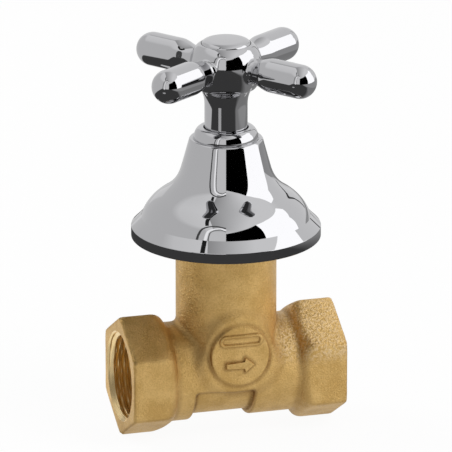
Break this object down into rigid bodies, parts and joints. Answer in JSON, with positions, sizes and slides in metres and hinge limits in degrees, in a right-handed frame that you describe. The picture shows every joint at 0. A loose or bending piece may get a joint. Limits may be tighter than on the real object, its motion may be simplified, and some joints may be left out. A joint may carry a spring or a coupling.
{
  "type": "concealed stop valve",
  "caption": "Concealed stop valve: forged brass tee body with hexagonal threaded ports, rising-spindle headwork, chromed bell escutcheon and cross handle.",
  "frame": {"origin": "where the axis of the pipe run crosses the spindle axis, inside the valve body", "axes": "+Z along the spindle towards the handle, -X out of the inlet port, +X out of the outlet port, -Y the front pad"},
  "size_m": [0.066, 0.0562, 0.1206],
  "materials": {
    "forged_brass": "sandblasted forging with fine grain and machined port faces",
    "turned_brass": "bright turned",
    "chrome": "mirror-polished chrome plate",
    "steel": "stainless, turned",
    "rubber": "black nitrile rubber",
    "graphite": "graphited packing",
    "nylon": "grey nylon",
    "fibre": "red vulcanised fibre"
  },
  "bodies": {
    "body": {"valve_body": "forged_brass", "bonnet": "turned_brass", "bonnet_gasket": "fibre", "packing_washer": "turned_brass", "packing_ring_1": "graphite", "packing_ring_2": "graphite", "gland_ring": "turned_brass", "gland_nut": "turned_brass", "bell_escutcheon": "chrome", "rim_gasket": "rubber", "neck_bush": "nylon"},
    "jumper": {"jumper": "turned_brass", "seat_washer": "rubber", "washer_plate": "turned_brass", "washer_nut": "turned_brass"},
    "handle": {"spindle": "turned_brass", "splined_insert": "turned_brass", "cross_handle": "chrome", "handle_screw": "steel", "lock_washer": "steel", "index_cap": "chrome"}
  },
  "joints": [
    {"name": "spindle_lift", "type": "slide", "parent": "body", "child": "jumper", "axis": [0, 0, 1], "range_m": [0, 0.005]},
    {"name": "handle_turn", "type": "hinge", "parent": "jumper", "child": "handle", "pos_m": [0, 0, 0.05], "axis": [0, 0, 1], "range_deg": [0, 900]}
  ],
  "couplings": [
    {"joint": "spindle_lift", "follows": "handle_turn", "m_per_rad": 0.0003183}
  ]
}
